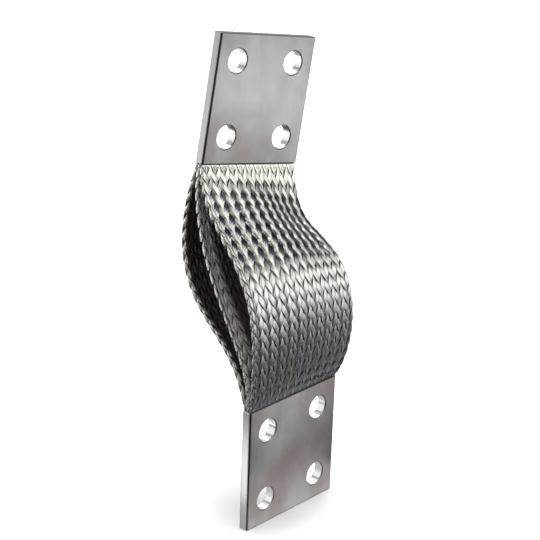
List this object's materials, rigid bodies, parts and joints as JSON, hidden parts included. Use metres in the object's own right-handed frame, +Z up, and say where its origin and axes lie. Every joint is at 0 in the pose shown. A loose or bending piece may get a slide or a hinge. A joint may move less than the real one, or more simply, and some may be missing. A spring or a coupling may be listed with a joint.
{
  "type": "flexible busbar braid",
  "caption": "Flexible copper link: flat tinned braids joined side by side between two square plates drilled for bolts, bowed apart so the ends can move.",
  "frame": {"origin": "centre of the lower terminal's back face, in the middle of its four bolt holes", "axes": "+Z up, +X along the lower terminal's width to the right as seen from the front, +Y out of its back face; the front is -Y"},
  "size_m": [0.1053, 0.0846, 0.2831],
  "materials": {
    "tinned_bar": "satin tinned copper bar",
    "tinned_wire": "tinned copper wire braid"
  },
  "bodies": {
    "root": {"lower_terminal": "tinned_bar", "upper_terminal": "tinned_bar", "front_braid": "tinned_wire", "middle_braid": "tinned_wire", "rear_braid": "tinned_wire"}
  },
  "joints": []
}
